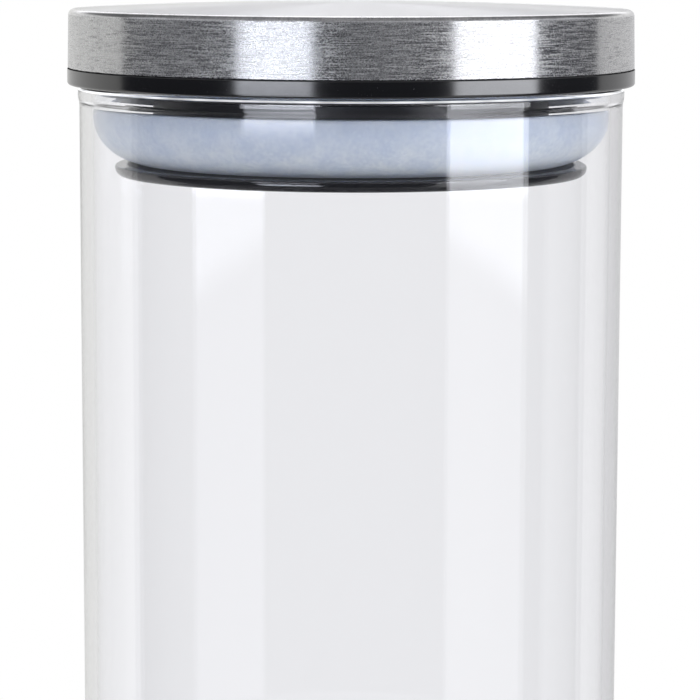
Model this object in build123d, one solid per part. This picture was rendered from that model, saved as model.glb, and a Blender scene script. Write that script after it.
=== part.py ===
from build123d import *
from math import sqrt
import os

# Lidded glass canister in millimetres, +Z up, origin at the middle of the base it stands on.
# A straight glass jar is closed by a plug lid that a soft gasket holds in the mouth.

# Glass jar
jar_diameter = 100.0
jar_height = 190.0
glass_wall = 2.4
floor_thickness = 4.5
heel_radius = 7.0
inner_heel_radius = 6.0
stand_ring_width = 6.0
base_hollow = 0.8
rim_bead = 0.25
rim_bead_height = 2.6
rim_round = 1.15

# Lid body, the black moulding between cap and gasket
flange_overhang = 2.15
flange_height = 2.95
flange_lower_round = 0.55
flange_upper_round = 0.1
flange_web = 2.0
spigot_wall = 2.0
plate_drop = 1.35
plate_thickness = 0.55
plate_reach = 5.2
stem_wall = 2.0
keeper_reach = 2.0
keeper_thickness = 1.5
rib_count = 8
rib_thickness = 1.6
boss_radius = 6.0

# Steel cap
cap_setback = 0.1
cap_sheet = 0.5
cap_corner_radius = 1.0
skirt_height = 10.55
skirt_draft = 0.2
dome_rise = 1.3

# Silicone gasket
gasket_land = 1.6
gasket_foot_width = 0.3
gasket_curve_height = 8.95
gasket_skin = 2.2
gasket_lip = 2.0
gasket_edge_round = 0.6

# Retaining disc under the gasket
disc_overhang = 1.97
disc_thickness = 2.0
collar_wall = 1.8
collar_height = 5.0
snap_bead_radius = 0.5

# Clearances
seat_gap = 0.1
shadow_gap = 0.2
bond_gap = 0.1
glass_gap = 0.15
plate_gap = 6.0
gasket_bore_gap = 0.2
gasket_end_gap = 0.1
gasket_headroom = 1.95
keeper_gap = 0.4
collar_gap = 0.1

# Radii that follow
jar_radius = jar_diameter / 2
mouth_radius = jar_radius - glass_wall
flange_radius = jar_radius + flange_overhang
cap_radius = flange_radius - cap_setback
cap_edge_radius = cap_radius - skirt_draft
spigot_radius = cap_radius - cap_sheet - bond_gap
plate_radius = mouth_radius - plate_gap
stem_radius = plate_radius - plate_reach
stem_bore = stem_radius - stem_wall
gasket_radius = mouth_radius - glass_gap
gasket_bore = stem_radius + gasket_bore_gap
gasket_foot = gasket_bore + gasket_foot_width
gasket_curve_width = gasket_radius - gasket_foot
disc_radius = plate_radius + disc_overhang
disc_upper_round = 0.2 * disc_thickness
disc_lower_round = 0.77 * disc_thickness
collar_radius = stem_bore - collar_gap

# Heights that follow
flange_bottom = jar_height + seat_gap
flange_top = flange_bottom + flange_height
cap_bottom = flange_top + shadow_gap
cap_edge = cap_bottom + skirt_height
cap_top = cap_edge + dome_rise
plate_bottom = flange_bottom - plate_drop - plate_thickness
gasket_top = plate_bottom - gasket_headroom
gasket_land_bottom = gasket_top - gasket_land
gasket_bottom = gasket_land_bottom - gasket_curve_height
keeper_bottom = gasket_bottom + gasket_skin + keeper_gap
disc_top = gasket_bottom - gasket_end_gap
disc_bottom = disc_top - disc_thickness
snap_bead_level = disc_top + collar_height / 2
dome_radius = (cap_edge_radius**2 + dome_rise**2) / (2 * dome_rise)


def turned(outline):
    """The solid that a flat outline of radius and height makes when it is turned about the axis."""
    return revolve(Plane.XZ * outline, Axis.Z)


def polygon(*points):
    return make_face(Polyline(*points, close=True))


def rounded(outline, radius, point):
    """The outline with the corner at that point rounded."""
    corner = outline.vertices().sort_by_distance((*point, 0))[0]
    return fillet(corner, radius)


def dome_height(radius, inset):
    """Height of the dome at that radius, or of a surface that far inside it."""
    return cap_top - dome_radius + sqrt((dome_radius - inset) ** 2 - radius**2)


def glass_jar():
    rim_radius = jar_radius + rim_bead
    bead_top = jar_height - rim_round
    bead_low = bead_top - rim_bead_height
    bead_middle = (jar_radius + rim_bead / 2, bead_top - rim_bead_height / 2)
    walls = Polyline(
        (rim_radius, bead_top),
        (rim_radius, jar_height),
        (mouth_radius, jar_height),
        (mouth_radius, floor_thickness),
        (0, floor_thickness),
        (0, 0),
        (jar_radius, 0),
        (jar_radius, bead_low),
    )
    bead_out = TangentArc((jar_radius, bead_low), bead_middle, tangent=(0, 1))
    bead_up = TangentArc((rim_radius, bead_top), bead_middle, tangent=(0, -1))
    outline = make_face(walls.edges() + bead_out.edges() + bead_up.edges())
    outline = rounded(outline, 0.99 * rim_round, (rim_radius, jar_height))
    outline = rounded(outline, rim_round, (mouth_radius, jar_height))
    outline = rounded(outline, heel_radius, (jar_radius, 0))
    outline = rounded(outline, inner_heel_radius, (mouth_radius, floor_thickness))
    # The base is hollowed by a shallow sphere, so the jar stands on a flat ring.
    hollow_edge = jar_radius - heel_radius - stand_ring_width
    hollow_radius = (hollow_edge**2 + base_hollow**2) / (2 * base_hollow)
    return turned(outline) - Pos(0, 0, base_hollow - hollow_radius) * Sphere(hollow_radius)


def cap_outline(inset):
    """Outline of the domed cap, or of the space that far inside its sheet."""
    edge_radius = cap_edge_radius - inset
    edge = (edge_radius, dome_height(edge_radius, inset))
    middle = (edge_radius / 2, dome_height(edge_radius / 2, inset))
    apex = (0, dome_height(0, inset))
    sides = Polyline(apex, (0, cap_bottom), (cap_radius - inset, cap_bottom), edge)
    outline = make_face(sides.edges() + ThreePointArc(edge, middle, apex).edges())
    return rounded(outline, cap_corner_radius - inset, edge)


def steel_cap():
    return turned(cap_outline(0) - cap_outline(cap_sheet))


def lid_body():
    spigot_edge = spigot_radius - skirt_draft
    spigot_top = dome_height(spigot_edge, cap_sheet) - bond_gap
    spigot_bore = spigot_edge - spigot_wall
    web_top = flange_bottom + flange_web
    outline = polygon(
        (0, flange_bottom),
        (stem_bore, flange_bottom),
        (stem_bore, disc_top),
        (stem_radius, disc_top),
        (stem_radius, plate_bottom),
        (plate_radius, plate_bottom),
        (plate_radius, plate_bottom + plate_thickness),
        (stem_radius, plate_bottom + plate_thickness),
        (stem_radius, flange_bottom),
        (flange_radius, flange_bottom),
        (flange_radius, flange_top),
        (spigot_radius, flange_top),
        (spigot_edge, spigot_top),
        (spigot_bore, spigot_top),
        (spigot_bore, web_top),
        (0, web_top),
    )
    outline = rounded(outline, flange_lower_round, (flange_radius, flange_bottom))
    outline = rounded(outline, flange_upper_round, (flange_radius, flange_top))
    outline = rounded(outline, cap_corner_radius, (spigot_edge, spigot_top))
    # A rib round the stem stands in the gasket's hollow and keeps its bottom wall on the disc.
    outline += polygon(
        (stem_radius - stem_wall / 2, keeper_bottom),
        (stem_radius + keeper_reach, keeper_bottom),
        (stem_radius + keeper_reach, keeper_bottom + keeper_thickness / 2),
        (stem_radius, keeper_bottom + keeper_thickness),
        (stem_radius - stem_wall / 2, keeper_bottom + keeper_thickness),
    )
    snap_groove = Pos(collar_radius, snap_bead_level) * Circle(snap_bead_radius + collar_gap)
    shell = turned(outline - snap_groove)
    # Radial ribs and a middle boss stand on the flange's web and carry the cap.
    rib_height = spigot_top - web_top
    upright = (Align.CENTER, Align.CENTER, Align.MIN)
    rib = Box(2 * spigot_radius, rib_thickness, rib_height, align=upright)
    stiffening = Cylinder(boss_radius, rib_height, align=upright)
    for turn in range(rib_count // 2):
        stiffening += Rot(0, 0, turn * 360 / rib_count) * rib
    inside = Cylinder(spigot_bore, rib_height, align=upright)
    return shell + Pos(0, 0, web_top) * (inside & stiffening)


def gasket_outline(inset):
    """Outline of the gasket's section, or of the hollow that far inside its skin."""
    sides = Polyline(
        (gasket_foot, gasket_bottom + inset),
        (gasket_bore, gasket_bottom + inset),
        (gasket_bore, gasket_top),
        (gasket_radius - inset, gasket_top),
        (gasket_radius - inset, gasket_land_bottom),
    )
    curve = EllipticalCenterArc(
        (gasket_foot, gasket_land_bottom),
        gasket_curve_width - inset,
        gasket_curve_height - inset,
        start_angle=270,
        arc_size=90,
    )
    return make_face(sides.edges() + curve.edges())


def silicone_gasket():
    # The ring is hollow behind its skin and open to the stem, so that it gives when it is pressed in.
    lip = polygon(
        (gasket_bore, gasket_top - gasket_lip),
        (gasket_radius - gasket_skin / 2, gasket_top - gasket_lip),
        (gasket_radius - gasket_skin / 2, gasket_top),
        (gasket_bore, gasket_top),
    )
    outline = gasket_outline(0) - gasket_outline(gasket_skin) + lip
    outline = rounded(outline, gasket_edge_round, (gasket_radius, gasket_top))
    return turned(outline)


def retaining_disc():
    collar_top = disc_top + collar_height
    collar_bore = collar_radius - collar_wall
    outline = polygon(
        (0, disc_bottom),
        (disc_radius, disc_bottom),
        (disc_radius, disc_top),
        (collar_radius, disc_top),
        (collar_radius, collar_top),
        (collar_bore, collar_top),
        (collar_bore, disc_top),
        (0, disc_top),
    )
    outline = rounded(outline, disc_lower_round, (disc_radius, disc_bottom))
    outline = rounded(outline, disc_upper_round, (disc_radius, disc_top))
    return turned(outline + Pos(collar_radius, snap_bead_level) * Circle(snap_bead_radius))


pieces = (glass_jar, steel_cap, lid_body, silicone_gasket, retaining_disc)
os.makedirs("parts", exist_ok=True)
for piece in pieces:
    export_step(piece(), f"parts/{piece.__name__}.step")
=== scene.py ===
import bmesh
import bpy
import math
from mathutils import Matrix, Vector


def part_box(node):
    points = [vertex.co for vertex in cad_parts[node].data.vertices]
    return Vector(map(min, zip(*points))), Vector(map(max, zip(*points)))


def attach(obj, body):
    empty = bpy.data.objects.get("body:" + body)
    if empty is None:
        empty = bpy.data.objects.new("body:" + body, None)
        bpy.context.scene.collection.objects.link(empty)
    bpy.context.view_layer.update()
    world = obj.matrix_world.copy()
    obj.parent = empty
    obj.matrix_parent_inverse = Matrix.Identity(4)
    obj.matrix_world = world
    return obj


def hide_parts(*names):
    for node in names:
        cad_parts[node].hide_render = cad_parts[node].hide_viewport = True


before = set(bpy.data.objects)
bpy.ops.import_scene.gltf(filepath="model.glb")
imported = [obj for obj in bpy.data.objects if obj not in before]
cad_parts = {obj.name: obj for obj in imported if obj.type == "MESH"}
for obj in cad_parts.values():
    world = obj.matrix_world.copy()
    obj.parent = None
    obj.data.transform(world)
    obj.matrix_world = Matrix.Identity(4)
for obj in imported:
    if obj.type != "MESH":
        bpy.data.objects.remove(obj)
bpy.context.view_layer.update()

# Lidded glass canister, in metres, +Z up, turned about the Z axis.
MM = 0.001
TURN_STEPS = 256
ROUND_STEPS = 12
CURVE_STEPS = 24
BOSS_STEPS = 64
FLOOR_STEPS = 128
SHARP_ANGLE = math.radians(30)
MERGE_DISTANCE = 0.002 * MM

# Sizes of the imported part
_, jar_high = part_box("glass_jar")
cap_low, cap_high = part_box("steel_cap")
_, body_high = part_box("lid_body")
gasket_low, gasket_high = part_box("silicone_gasket")
disc_low, disc_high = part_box("retaining_disc")
rim_height = jar_high.z
cap_bottom = cap_low.z
cap_top = cap_high.z
cap_radius = cap_high.x
flange_radius = body_high.x
gasket_radius = gasket_high.x
disc_radius = disc_high.x

# Glass jar
rim_bead = 0.25 * MM
rim_bead_height = 2.25 * MM
rim_bead_flare = 1.0 * MM
rim_bead_blend = 0.45 * rim_bead_flare
rim_round = 1.15 * MM
jar_radius = jar_high.x - rim_bead
glass_wall = 2.4 * MM
floor_thickness = 4.5 * MM
heel_radius = 7.0 * MM
inner_heel_radius = 6.0 * MM
stand_ring_width = 6.0 * MM
base_hollow = 0.8 * MM
mouth_radius = jar_radius - glass_wall

# Steel cap
cap_sheet = 0.5 * MM
cap_corner_radius = 1.0 * MM
cap_lip_round = 0.12 * MM
skirt_draft = 0.2 * MM
cap_edge_radius = cap_radius - skirt_draft
dome_rise = 1.3 * MM
dome_radius = (cap_edge_radius**2 + dome_rise**2) / (2 * dome_rise)
cap_edge = cap_top - dome_rise

# Lid body
seat_gap = 0.1 * MM
bond_gap = 0.1 * MM
flange_bottom = rim_height + seat_gap
flange_height = 2.95 * MM
flange_top = flange_bottom + flange_height
flange_lower_round = 0.55 * MM
flange_upper_round = 0.1 * MM
flange_web = 2.0 * MM
spigot_wall = 2.0 * MM
plate_gap = 6.0 * MM
plate_radius = mouth_radius - plate_gap
plate_thickness = 0.55 * MM
plate_drop = 1.35 * MM
plate_top = flange_bottom - plate_drop
plate_reach = 5.2 * MM
stem_radius = plate_radius - plate_reach
stem_wall = 2.0 * MM
stem_bore = stem_radius - stem_wall
rib_count = 8
rib_thickness = 1.6 * MM
boss_radius = 6.0 * MM

# Silicone gasket
gasket_bore_gap = 0.2 * MM
gasket_bore = stem_radius + gasket_bore_gap
gasket_foot_width = 0.3 * MM
gasket_foot = gasket_bore + gasket_foot_width
gasket_land = 1.6 * MM
gasket_land_bottom = gasket_high.z - gasket_land
gasket_skin = 2.2 * MM
gasket_lip = 2.0 * MM
gasket_edge_round = 0.6 * MM

# Rib on the stem that keeps the gasket down
keeper_gap = 0.4 * MM
keeper_bottom = gasket_low.z + gasket_skin + keeper_gap
keeper_reach = 2.0 * MM
keeper_thickness = 1.5 * MM

# Retaining disc
gasket_end_gap = 0.1 * MM
disc_top = gasket_low.z - gasket_end_gap
disc_thickness = disc_top - disc_low.z
disc_upper_round = 0.2 * disc_thickness
disc_lower_round = 0.77 * disc_thickness
collar_gap = 0.1 * MM
collar_radius = stem_bore - collar_gap
collar_wall = 1.8 * MM
snap_bead = 0.5 * MM
snap_bead_round = 0.95 * snap_bead

# Brushed steel: scratches round a turn and up a metre, where the top's finish starts, tones
line_turns = 11
line_rows = 5600
spark_turns = 150
spark_rows = 5200
line_share = 0.55
top_finish = (cap_edge_radius - 1.6 * MM, cap_edge_radius - 0.8 * MM)
corner_polish = (cap_edge - 1.0 * MM, cap_edge - 0.7 * MM)
top_calm = 0.9
corner_calm = 0.7
scatter_grain = (0.49, 0.6)
top_scatter = 0.1
top_scatter_calm = 0.7
shade_grain = (0.4, 0.59)
steel_dark = (0.27, 0.27, 0.28)
steel_bright = (1.0, 1.0, 1.0)
steel_roughness = 0.26
scatter_roughness = 0.56
corner_gloss = 0.1
scratch_depth = 0.003 * MM

# Black plastic: where it is matt and where it shines more, tones
plug_finish = (disc_radius - 2.6 * MM, disc_radius - 1.8 * MM)
disc_finish = (disc_radius + 1.0 * MM, disc_radius + 2.0 * MM)
gap_finish = (flange_top - 0.06 * MM, flange_top)
ripple_scale = 900.0
ripple_depth = 0.002 * MM
speck_scale = 4200.0
speck_grain = (0.73, 0.8)
speck_share = 0.5
plastic_black = (0.004, 0.004, 0.0045)
plastic_speck = (0.05, 0.05, 0.055)
plastic_roughness = 0.11
ripple_roughness = 0.05
speck_roughness = 0.25
plug_roughness = 0.35
gap_roughness = 0.6
disc_gloss = 0.07
plastic_ior = 1.55
plastic_shine = 0.82

# Silicone: clouding, the heights of the painted shade at its top and of the painted glow at its foot,
# tones
cloud_scale = 260.0
grain_scale = 1500.0
cloud_share = 0.6
mottle_grain = (0.3, 0.7)
# Painted shade: heights over which the top of the ring is painted darker
painted_shade_heights = (gasket_low.z + 3.0 * MM, gasket_high.z)
painted_shade_share = 0.55
# Painted light: heights of the faint glow painted at the foot
painted_glow_heights = (gasket_low.z + 0.2 * MM, gasket_low.z + 1.8 * MM)
silicone_dark = (0.59, 0.67, 0.845)
silicone_pale = (0.8, 0.865, 0.98)
# Painted shade tone at the top, then the painted glow colour at the foot
silicone_painted_shade = (0.42, 0.475, 0.58)
painted_foot_glow = (0.06, 0.064, 0.074)
silicone_roughness = 0.34
grain_roughness = 0.16
grain_depth = 0.004 * MM
scatter_depth = 6.0 * MM
scatter_tint = (1.0, 1.0, 1.1)

# Clear glass: unevenness of the wall, the painted glow ring in the rim, tint
wave_turns = 2.5
wave_rows = 9
wave_depth = 0.05 * MM
rim_glow_inside = (jar_radius - 0.9 * MM, jar_radius - 0.6 * MM)
rim_glow_top = rim_height - 0.36 * MM
rim_glow_bottom = rim_height - 0.8 * MM
rim_glow_edge = 0.1 * MM
rim_glow_turns = 9
rim_glow_grain = (0.2, 0.8)
rim_glow_least = 0.4
# Painted light: colour of the glow painted into the rim
painted_rim_glow_light = (0.95, 0.97, 1.0)
glass_tint = (0.965, 0.966, 0.98)
glass_shadow = (0.92, 0.925, 0.94)
glass_ior = 1.47

# Camera, placed from the lid's rings in the photograph
camera_distance = 561.9 * MM
camera_above_cap_bottom = 25.19 * MM
camera_aside = -0.075 * MM
camera_pitch = math.radians(7.90)
camera_roll = math.radians(0.15)
focal_length_mm = 156.2
sensor_width_mm = 36.0

# Studio: the directions of its panels, in degrees round from the camera and up from the horizon
left_box_from = -46.0
left_box_to = -15.2
left_box_low = -3.7
left_box_low_edge = 0.3
left_box_fade = (-2.0, 12.0)
right_box_from = 41.2
right_box_to = 78.7
right_box_low = -5.8
right_box_low_edge = 0.5
right_box_slant = 0.027
right_box_foot = -5.0
right_box_foot_edge = 0.15
right_box_fade = (5.0, 22.0)
table_edge = -16.5
table_edge_blur = 1.0
near_table_fade = (-40.0, -30.0)
table_fade = (-60.0, -48.0)
high_fade = (4.0, 12.0)
high_front_from = -18.0
high_front_to = 6.0
high_front_edge = 8.0
ceiling_fade = (28.0, 36.0)
backdrop_left = -104.0
backdrop_right = 117.0
backdrop_seam = (-5.0, 5.0)
high_backdrop_fade = (3.0, 14.0)
backdrop_fade = (12.0, 24.0)
back_box_turn = 163.0
back_box_turn_edge = 15.0
back_box_low = 12.0
back_box_high = 60.0
back_box_edge = 4.0
panel_edge = 0.6

# Brightness of the studio's panels
front_light = (0.06, 0.063, 0.075)
high_front_light = (0.45, 0.455, 0.48)
high_side_light = (0.65, 0.655, 0.69)
left_box_light = (6.2, 6.4, 7.0)
right_box_light = (5.4, 5.5, 5.8)
right_foot_light = (2.4, 2.45, 2.6)
left_table_light = (4.8, 5.0, 5.5)
right_table_light = (1.0, 1.0, 1.03)
left_backdrop_light = (0.80, 0.80, 0.79)
right_backdrop_light = (0.71, 0.71, 0.72)
high_backdrop_light = (0.9, 0.9, 0.9)
back_wall_light = (0.15, 0.15, 0.155)
back_box_light = (2.05, 2.05, 2.1)
ceiling_light = (0.3, 0.3, 0.31)
table_light = (0.3, 0.3, 0.31)

# Fill lamps and floor
fill_distance = 0.8
fill_above_cap_bottom = 0.1
fill_size = 0.4
fill_turn = 75.0
left_fill_power = 1.37
right_fill_power = 2.1
floor_radius = 0.2
floor_fade = (0.08, 0.19)
floor_whiteness = 0.62
floor_tone = (0.6, 0.6, 0.61)


class Value:
    """A shader socket in a sum: each operator adds the Math node that works it out."""

    def __init__(self, nodes, socket):
        self.nodes = nodes
        self.socket = socket

    def maths(self, operation, *others, swap=False):
        terms = [self, *others]
        if swap:
            terms.reverse()
        sockets = dict(enumerate(terms))
        return self.nodes.add("ShaderNodeMath", {"operation": operation}, sockets).out()

    def __add__(self, other):
        return self.maths("ADD", other)

    def __sub__(self, other):
        return self.maths("SUBTRACT", other)

    def __rsub__(self, other):
        return self.maths("SUBTRACT", other, swap=True)

    def __mul__(self, other):
        return self.maths("MULTIPLY", other)

    def __truediv__(self, other):
        return self.maths("DIVIDE", other)

    def __rtruediv__(self, other):
        return self.maths("DIVIDE", other, swap=True)

    def __pow__(self, other):
        return self.maths("POWER", other)

    def __rpow__(self, other):
        return self.maths("POWER", other, swap=True)

    __radd__ = __add__
    __rmul__ = __mul__

    def step(self, low, high):
        """0 below low, 1 above high, and smooth between them."""
        settings = {"interpolation_type": "SMOOTHSTEP"}
        sockets = {"Value": self, "From Min": low, "From Max": high}
        return self.nodes.add("ShaderNodeMapRange", settings, sockets).out()


class Node:
    """A node that was added, with its sockets as values."""

    def __init__(self, nodes, node):
        self.nodes = nodes
        self.node = node

    def out(self, name=0):
        return Value(self.nodes, self.node.outputs[name])


class Nodes:
    """The node tree of a material or of the world, and the one method that adds to it."""

    def __init__(self, owner):
        owner.use_nodes = True
        self.tree = owner.node_tree
        self.tree.nodes.clear()

    def add(self, kind, settings=None, sockets=None):
        node = self.tree.nodes.new(kind)
        for name, setting in (settings or {}).items():
            setattr(node, name, setting)
        for name, content in (sockets or {}).items():
            if isinstance(content, Value):
                self.tree.links.new(content.socket, node.inputs[name])
            else:
                node.inputs[name].default_value = content
        return Node(self, node)

    def noise(self, vector, scale, detail=2.0, roughness=0.5):
        sockets = {"Vector": vector, "Scale": scale, "Detail": detail, "Roughness": roughness}
        return self.add("ShaderNodeTexNoise", None, sockets).out("Fac")

    def mix(self, share, first, second):
        settings = {"data_type": "RGBA"}
        sockets = {0: share, 6: first, 7: second}
        return self.add("ShaderNodeMix", settings, sockets).out(2)

    def bump(self, height, distance):
        sockets = {"Height": height, "Distance": distance, "Strength": 1.0}
        return self.add("ShaderNodeBump", None, sockets).out("Normal")

    def place(self):
        return self.add("ShaderNodeTexCoord").out("Object")

    def parts(self, vector):
        split = self.add("ShaderNodeSeparateXYZ", None, {0: vector})
        return split.out("X"), split.out("Y"), split.out("Z")

    def join(self, x, y, z):
        return self.add("ShaderNodeCombineXYZ", None, {"X": x, "Y": y, "Z": z}).out()

    def surface(self, shader):
        self.add("ShaderNodeOutputMaterial", None, {"Surface": shader})


def colour(red, green, blue):
    return (red, green, blue, 1.0)


def radius_and_height(nodes):
    """Distance of the shaded point from the axis, and its height."""
    x, y, z = nodes.parts(nodes.place())
    return (x * x + y * y) ** 0.5, z


def round_the_axis(nodes):
    """The two parts of the shaded point's direction from the axis."""
    x, y, _ = nodes.parts(nodes.place())
    radius = (x * x + y * y) ** 0.5
    return x / radius, y / radius


def seen_straight(nodes):
    """1 where the camera looks, straight or through glass, and 0 in reflections and for lighting."""
    path = nodes.add("ShaderNodeLightPath")
    unturned = 1 - (path.out("Glossy Depth") + path.out("Diffuse Depth")).step(0.25, 0.75)
    return path.out("Is Camera Ray") + path.out("Is Transmission Ray") * unturned


def brushed_steel():
    material = bpy.data.materials.new("brushed_steel")
    nodes = Nodes(material)
    radius, height = radius_and_height(nodes)
    across, along = round_the_axis(nodes)
    # Short scratches of brushing run round the axis, on the skirt and on the top alike.
    level = radius + height

    def scratches(turns, rows, detail):
        return nodes.noise(nodes.join(across * turns, along * turns, level * rows), 1.0, detail, 0.7)

    lines = scratches(line_turns, line_rows, 3.0)
    sparks = scratches(spark_turns, spark_rows, 2.0)
    grain = lines * line_share + sparks * (1 - line_share)
    # The brushing is finer on the top, and the pressed corner between top and skirt is polished.
    on_top = 1 - radius.step(*top_finish)
    corner = height.step(*corner_polish) * (1 - on_top)
    contrast = 1 - on_top * top_calm - corner * corner_calm
    scattering = (grain.step(*scatter_grain) - top_scatter) * (1 - on_top * top_scatter_calm) + top_scatter
    scattering = scattering * (1 - corner)
    shade = (grain.step(*shade_grain) - 0.5) * contrast + 0.5
    shader = nodes.add("ShaderNodeBsdfPrincipled", None, {
        "Base Color": nodes.mix(shade, colour(*steel_dark), colour(*steel_bright)),
        "Metallic": 1.0,
        "Roughness": steel_roughness + scattering * scatter_roughness - corner * corner_gloss,
        "Anisotropic": 1.0,
        "Anisotropic Rotation": 0.25,
        "Normal": nodes.bump(grain, scratch_depth),
    })
    nodes.surface(shader.out())
    return material


def black_plastic():
    material = bpy.data.materials.new("black_plastic")
    nodes = Nodes(material)
    place = nodes.place()
    radius, height = radius_and_height(nodes)
    # The flange is polished and the disc's edge more so. The plug and the gap under the cap are matt.
    in_plug = 1 - radius.step(*plug_finish)
    in_disc = 1 - radius.step(*disc_finish)
    in_gap = height.step(*gap_finish)
    ripple = nodes.noise(place, ripple_scale, 2.0)
    specks = nodes.noise(place, speck_scale, 1.0).step(*speck_grain)
    roughness = plastic_roughness + ripple * ripple_roughness + specks * speck_roughness
    roughness = roughness + in_plug * plug_roughness - in_disc * disc_gloss + in_gap * gap_roughness
    shader = nodes.add("ShaderNodeBsdfPrincipled", None, {
        "Base Color": nodes.mix(specks * speck_share, colour(*plastic_black), colour(*plastic_speck)),
        "Roughness": roughness,
        "IOR": plastic_ior,
        "Specular IOR Level": plastic_shine,
        "Normal": nodes.bump(ripple, ripple_depth),
    })
    nodes.surface(shader.out())
    return material


def silicone():
    material = bpy.data.materials.new("silicone")
    nodes = Nodes(material)
    place = nodes.place()
    _, height = radius_and_height(nodes)
    clouds = nodes.noise(place, cloud_scale, 4.0, 0.6)
    grain = nodes.noise(place, grain_scale, 2.0)
    mottle = (clouds * cloud_share + grain * (1 - cloud_share)).step(*mottle_grain)
    tone = nodes.mix(mottle, colour(*silicone_dark), colour(*silicone_pale))
    # Painted shade: the tone is darker towards the top, which sits under the flange in front of the dark
    # plug.
    tone = nodes.mix(height.step(*painted_shade_heights) * painted_shade_share, tone, colour(*silicone_painted_shade))
    # Painted light: a faint glow is painted as emission at the foot, close over the dark disc. It stands
    # in for light that the ring carries inside.
    painted_glow_at_foot = 1 - height.step(*painted_glow_heights)
    shader = nodes.add("ShaderNodeBsdfPrincipled", None, {
        "Base Color": tone,
        "Roughness": silicone_roughness + grain * grain_roughness,
        "Subsurface Weight": 1.0,
        "Subsurface Radius": scatter_tint,
        "Subsurface Scale": scatter_depth,
        "Emission Color": nodes.mix(painted_glow_at_foot, colour(0, 0, 0), colour(*painted_foot_glow)),
        "Emission Strength": 1.0,
        "Normal": nodes.bump(grain, grain_depth),
    })
    nodes.surface(shader.out())
    return material


def clear_glass():
    material = bpy.data.materials.new("clear_glass")
    nodes = Nodes(material)
    radius, height = radius_and_height(nodes)
    across, along = round_the_axis(nodes)
    # Drawn glass is very slightly uneven, more so round the wall than along it.
    waves = nodes.noise(nodes.join(across * wave_turns, along * wave_turns, height * wave_rows), 1.0, 1.0)
    # Painted light: a glow is painted as emission in a thin ring on the rim's outer rounding. It stands in
    # for light the wall carries up to its rim.
    glow = height.step(rim_glow_bottom, rim_glow_bottom + rim_glow_edge) * radius.step(*rim_glow_inside)
    glow = glow * (1 - height.step(rim_glow_top - rim_glow_edge, rim_glow_top))
    uneven = nodes.noise(nodes.join(across * rim_glow_turns, along * rim_glow_turns, 0.0), 1.0, 2.0)
    glow = glow * (rim_glow_least + uneven.step(*rim_glow_grain) * (1 - rim_glow_least))
    glass = nodes.add("ShaderNodeBsdfPrincipled", None, {
        "Base Color": colour(*glass_tint),
        "Roughness": 0.0,
        "IOR": glass_ior,
        "Transmission Weight": 1.0,
        "Emission Color": nodes.mix(glow, colour(0, 0, 0), colour(*painted_rim_glow_light)),
        "Emission Strength": 1.0,
        "Normal": nodes.bump(waves, wave_depth),
    })
    for_lamps = nodes.add("ShaderNodeBsdfTransparent", None, {"Color": colour(*glass_shadow)})
    is_shadow = nodes.add("ShaderNodeLightPath").out("Is Shadow Ray")
    mixed = nodes.add("ShaderNodeMixShader", None, {0: is_shadow, 1: glass.out(), 2: for_lamps.out()})
    nodes.surface(mixed.out())
    return material


def pale_floor():
    material = bpy.data.materials.new("pale_floor")
    nodes = Nodes(material)
    radius, _ = radius_and_height(nodes)
    matt = nodes.add("ShaderNodeBsdfDiffuse", None, {"Color": colour(*floor_tone)})
    white = nodes.add("ShaderNodeEmission", None, {"Color": colour(1, 1, 1), "Strength": 1.0})
    share = floor_whiteness + radius.step(*floor_fade) * (1 - floor_whiteness)
    share = share * seen_straight(nodes)
    mixed = nodes.add("ShaderNodeMixShader", None, {0: share, 1: matt.out(), 2: white.out()})
    nodes.surface(mixed.out())
    return material


def outline_corners(points):
    """Corners with a rounding each, from points that may leave it out."""
    return [(*point, 0.0)[:3] for point in points]


def turned_shape(points, closed=False):
    """The mesh that an outline of radius, height and rounding makes when it is turned about Z."""
    shape = bmesh.new()
    corners = outline_corners(points)
    spots = [shape.verts.new((radius, 0, height)) for radius, height, _ in corners]
    for one, other in zip(spots, spots[1:] + spots[:1] * closed):
        shape.edges.new((one, other))
    for spot, (_, _, rounding) in zip(spots, corners):
        if rounding:
            bmesh.ops.bevel(
                shape, geom=[spot], offset=rounding, offset_type="OFFSET", segments=ROUND_STEPS,
                profile=0.5, affect="VERTICES", material=-1,
            )
    bmesh.ops.spin(
        shape, geom=shape.verts[:] + shape.edges[:], axis=(0, 0, 1), cent=(0, 0, 0),
        angle=2 * math.pi, steps=TURN_STEPS, use_merge=True,
    )
    bmesh.ops.remove_doubles(shape, verts=shape.verts[:], dist=MERGE_DISTANCE)
    bmesh.ops.recalc_face_normals(shape, faces=shape.faces[:])
    return shape


def piece(name, shape, material, body, node):
    """A finished piece from its shape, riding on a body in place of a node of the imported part."""
    for face in shape.faces:
        face.smooth = True
    for edge in shape.edges:
        edge.smooth = edge.calc_face_angle(0) < SHARP_ANGLE
    mesh = bpy.data.meshes.new(name)
    shape.to_mesh(mesh)
    shape.free()
    draft = bpy.data.objects.new(name + "_draft", mesh)
    bpy.context.scene.collection.objects.link(draft)
    draft.modifiers.new("even_normals", "WEIGHTED_NORMAL").keep_sharp = True
    depsgraph = bpy.context.evaluated_depsgraph_get()
    finished = bpy.data.meshes.new_from_object(draft.evaluated_get(depsgraph))
    bpy.data.objects.remove(draft)
    made = bpy.data.objects.new(name, finished)
    bpy.context.scene.collection.objects.link(made)
    finished.materials.clear()
    finished.materials.append(material)
    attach(made, body)
    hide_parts(node)


def dome_height(radius, inset):
    return cap_top - dome_radius + math.sqrt((dome_radius - inset) ** 2 - radius**2)


def dome_points(edge_radius, inset):
    """Points of the dome, or of the surface that far inside it, from the axis to the edge."""
    radii = [edge_radius * step / CURVE_STEPS for step in range(CURVE_STEPS)]
    return [(radius, dome_height(radius, inset)) for radius in radii]


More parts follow.
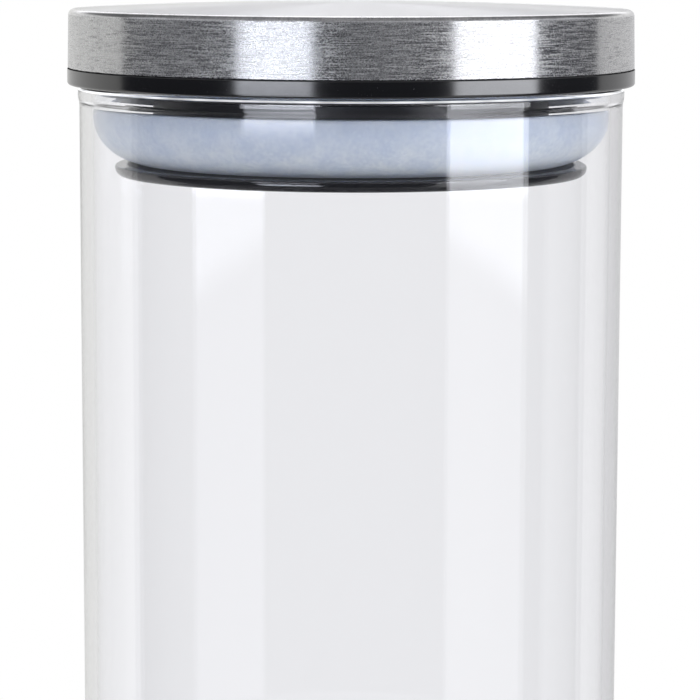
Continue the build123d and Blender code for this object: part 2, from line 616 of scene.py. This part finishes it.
def jar_shape():
    hollow_edge = jar_radius - heel_radius - stand_ring_width
    hollow_radius = (hollow_edge**2 + base_hollow**2) / (2 * base_hollow)
    hollow = []
    for step in range(CURVE_STEPS):
        radius = hollow_edge * step / CURVE_STEPS
        hollow.append((radius, base_hollow - hollow_radius + math.sqrt(hollow_radius**2 - radius**2)))
    bead_low = rim_height - rim_bead_height
    return turned_shape([
        *hollow,
        (hollow_edge, 0.0),
        (jar_radius, 0.0, heel_radius),
        (jar_radius, bead_low - rim_bead_flare, rim_bead_blend),
        (jar_radius + rim_bead, bead_low, rim_bead_blend),
        (jar_radius + rim_bead, rim_height, rim_round),
        (mouth_radius, rim_height, rim_round),
        (mouth_radius, floor_thickness, inner_heel_radius),
        (0.0, floor_thickness),
    ])


def cap_shape():
    inner_edge = cap_edge_radius - cap_sheet
    inner_corner = cap_corner_radius - cap_sheet
    return turned_shape([
        *dome_points(cap_edge_radius, 0.0),
        (cap_edge_radius, dome_height(cap_edge_radius, 0.0), cap_corner_radius),
        (cap_radius, cap_bottom, cap_lip_round),
        (cap_radius - cap_sheet, cap_bottom, cap_lip_round),
        (inner_edge, dome_height(inner_edge, cap_sheet), inner_corner),
        *reversed(dome_points(inner_edge, cap_sheet)),
    ])


def lid_body_shape():
    spigot_radius = cap_radius - cap_sheet - bond_gap
    spigot_edge = spigot_radius - skirt_draft
    spigot_bore = spigot_edge - spigot_wall
    spigot_top = dome_height(spigot_edge, cap_sheet) - bond_gap
    keeper_radius = stem_radius + keeper_reach
    web_top = flange_bottom + flange_web
    plate_bottom = plate_top - plate_thickness
    shape = turned_shape([
        (0.0, flange_bottom),
        (stem_bore, flange_bottom),
        (stem_bore, disc_top),
        (stem_radius, disc_top),
        (stem_radius, keeper_bottom),
        (keeper_radius, keeper_bottom),
        (keeper_radius, keeper_bottom + keeper_thickness / 2),
        (stem_radius, keeper_bottom + keeper_thickness),
        (stem_radius, plate_bottom),
        (plate_radius, plate_bottom),
        (plate_radius, plate_top),
        (stem_radius, plate_top),
        (stem_radius, flange_bottom),
        (flange_radius, flange_bottom, flange_lower_round),
        (flange_radius, flange_top, flange_upper_round),
        (spigot_radius, flange_top),
        (spigot_edge, spigot_top, cap_corner_radius),
        (spigot_bore, spigot_top),
        (spigot_bore, web_top),
        (0.0, web_top),
    ])
    # Ribs and a middle boss carry the cap.
    rib_outline = [
        (boss_radius / 2, web_top),
        (spigot_bore, web_top),
        (spigot_bore, spigot_top),
        (boss_radius / 2, spigot_top),
    ]
    for number in range(rib_count):
        near = [shape.verts.new((radius, -rib_thickness / 2, height)) for radius, height in rib_outline]
        side = bmesh.ops.extrude_face_region(shape, geom=[shape.faces.new(near)])["geom"]
        far = [spot for spot in side if isinstance(spot, bmesh.types.BMVert)]
        bmesh.ops.translate(shape, vec=(0, rib_thickness, 0), verts=far)
        turn = Matrix.Rotation(2 * math.pi * number / rib_count, 3, "Z")
        bmesh.ops.rotate(shape, cent=(0, 0, 0), matrix=turn, verts=near + far)
    boss_height = spigot_top - web_top
    bmesh.ops.create_cone(
        shape, cap_ends=True, segments=BOSS_STEPS, radius1=boss_radius, radius2=boss_radius,
        depth=boss_height, matrix=Matrix.Translation((0, 0, web_top + boss_height / 2)),
    )
    bmesh.ops.recalc_face_normals(shape, faces=shape.faces[:])
    return shape


def gasket_curve(inset):
    """The gasket's rounded outside from its foot up, or the curve that far inside its skin."""
    width = gasket_radius - gasket_foot - inset
    height = gasket_land_bottom - gasket_low.z - inset
    points = []
    for step in range(CURVE_STEPS + 1):
        turn = math.radians(90) * step / CURVE_STEPS
        points.append((gasket_foot + width * math.sin(turn), gasket_land_bottom - height * math.cos(turn)))
    return points


def gasket_shape():
    top = gasket_high.z
    return turned_shape([
        (gasket_bore, gasket_low.z),
        *gasket_curve(0.0),
        (gasket_radius, top, gasket_edge_round),
        (gasket_bore, top),
        (gasket_bore, top - gasket_lip),
        (gasket_radius - gasket_skin, top - gasket_lip),
        *reversed(gasket_curve(gasket_skin)),
        (gasket_bore, gasket_low.z + gasket_skin),
    ], closed=True)


def disc_shape():
    collar_bore = collar_radius - collar_wall
    collar_top = disc_high.z
    bead_level = (disc_top + collar_top) / 2
    return turned_shape([
        (0.0, disc_low.z),
        (disc_radius, disc_low.z, disc_lower_round),
        (disc_radius, disc_top, disc_upper_round),
        (collar_radius, disc_top),
        (collar_radius, bead_level - snap_bead),
        (collar_radius + snap_bead, bead_level - snap_bead, snap_bead_round),
        (collar_radius + snap_bead, bead_level + snap_bead, snap_bead_round),
        (collar_radius, bead_level + snap_bead),
        (collar_radius, collar_top),
        (collar_bore, collar_top),
        (collar_bore, disc_top),
        (0.0, disc_top),
    ])


def studio_light():
    """The world: white behind the object, two soft boxes, and a dim room behind the camera."""
    world = bpy.data.worlds.new("studio")
    bpy.context.scene.world = world
    nodes = Nodes(world)
    x, y, z = nodes.parts(nodes.add("ShaderNodeTexCoord").out("Generated"))
    turn = x.maths("ARCTAN2", y * -1.0) * math.degrees(1)
    rise = z.maths("ARCSINE") * math.degrees(1)

    def above(angle, low, edge=panel_edge):
        return angle.step(low - edge, low + edge)

    def between(angle, low, high, edge=panel_edge):
        return above(angle, low, edge) * (1 - above(angle, high, edge))

    # The room behind the camera
    in_middle = between(turn, high_front_from, high_front_to, high_front_edge)
    high = nodes.mix(in_middle, colour(*high_side_light), colour(*high_front_light))
    room = nodes.mix(rise.step(*high_fade), colour(*front_light), high)
    room = nodes.mix(rise.step(*ceiling_fade), room, colour(*ceiling_light))
    room = nodes.mix(rise.step(*table_fade), colour(*table_light), room)
    # The backdrop beside and behind the object, with a lit panel on the wall above it
    on_right = turn.step(*backdrop_seam)
    back = nodes.mix(on_right, colour(*left_backdrop_light), colour(*right_backdrop_light))
    back = nodes.mix(rise.step(*high_backdrop_fade), back, colour(*high_backdrop_light))
    back = nodes.mix(rise.step(*backdrop_fade), back, colour(*back_wall_light))
    behind = 1 - between(turn, backdrop_left, backdrop_right)
    room = nodes.mix(behind, room, back)
    back_box_starts = (back_box_turn - back_box_turn_edge) ** 2
    back_box_full = (back_box_turn + back_box_turn_edge) ** 2
    back_box = (turn * turn).step(back_box_starts, back_box_full)
    back_box = back_box * between(rise, back_box_low, back_box_high, back_box_edge)
    room = nodes.mix(back_box, room, colour(*back_box_light))
    # The right soft box, dimmer at its foot, and its light on the table
    right_box = between(turn, right_box_from, right_box_to) * (1 - rise.step(*right_box_fade))
    above_foot = above(rise, right_box_foot, right_box_foot_edge)
    right_light = nodes.mix(above_foot, colour(*right_foot_light), colour(*right_box_light))
    slanted_rise = rise + (turn - right_box_from) * right_box_slant
    above_table = above(slanted_rise, right_box_low, right_box_low_edge)
    right_light = nodes.mix(above_table, colour(*right_table_light), right_light)
    room = nodes.mix(right_box * rise.step(*table_fade), room, right_light)
    # The left soft box and its light on the table
    left_box = between(turn, left_box_from, left_box_to) * (1 - rise.step(*left_box_fade))
    on_table = rise.step(*near_table_fade) * (1 - above(rise, table_edge, table_edge_blur))
    room = nodes.mix(left_box * on_table, room, colour(*left_table_light))
    above_table = above(rise, left_box_low, left_box_low_edge)
    room = nodes.mix(left_box * above_table, room, colour(*left_box_light))
    shown = nodes.mix(seen_straight(nodes), room, colour(1, 1, 1))
    background = nodes.add("ShaderNodeBackground", None, {"Color": shown, "Strength": 1.0})
    nodes.add("ShaderNodeOutputWorld", None, {"Surface": background.out()})


def fill_lamp(name, turn, power):
    """A soft lamp beside the object that lights the gasket and shows in no reflection."""
    light = bpy.data.lights.new(name, "AREA")
    light.energy = power
    light.size = fill_size
    lamp = bpy.data.objects.new(name, light)
    bpy.context.scene.collection.objects.link(lamp)
    lamp.visible_glossy = False
    lamp.visible_camera = False
    lamp.visible_transmission = False
    swing = Matrix.Rotation(math.radians(turn), 4, "Z")
    place = Matrix.Translation((0, -fill_distance, cap_bottom + fill_above_cap_bottom))
    tilt = Matrix.Rotation(math.radians(90) - math.atan2(fill_above_cap_bottom, fill_distance), 4, "X")
    lamp.matrix_world = swing @ place @ tilt


def stage():
    shape = bmesh.new()
    bmesh.ops.create_circle(shape, cap_ends=True, segments=FLOOR_STEPS, radius=floor_radius)
    mesh = bpy.data.meshes.new("floor")
    shape.to_mesh(mesh)
    shape.free()
    floor = bpy.data.objects.new("floor", mesh)
    bpy.context.scene.collection.objects.link(floor)
    mesh.materials.append(pale_floor())
    floor.visible_glossy = False


def camera():
    lens = bpy.data.cameras.new("camera")
    lens.lens = focal_length_mm
    lens.sensor_width = sensor_width_mm
    made = bpy.data.objects.new("camera", lens)
    bpy.context.scene.collection.objects.link(made)
    place = Matrix.Translation((camera_aside, -camera_distance, cap_bottom + camera_above_cap_bottom))
    tilt = Matrix.Rotation(math.radians(90) - camera_pitch, 4, "X")
    made.matrix_world = place @ tilt @ Matrix.Rotation(camera_roll, 4, "Z")
    bpy.context.scene.camera = made


steel = brushed_steel()
black = black_plastic()
rubber = silicone()
glass = clear_glass()
piece("jar_glass", jar_shape(), glass, "jar", "glass_jar")
piece("cap_steel", cap_shape(), steel, "lid", "steel_cap")
piece("body_black", lid_body_shape(), black, "lid", "lid_body")
piece("gasket_silicone", gasket_shape(), rubber, "gasket", "silicone_gasket")
piece("disc_black", disc_shape(), black, "lid", "retaining_disc")
studio_light()
fill_lamp("left_fill", -fill_turn, left_fill_power)
fill_lamp("right_fill", fill_turn, right_fill_power)
stage()
camera()
bpy.context.scene.view_settings.view_transform = "Standard"
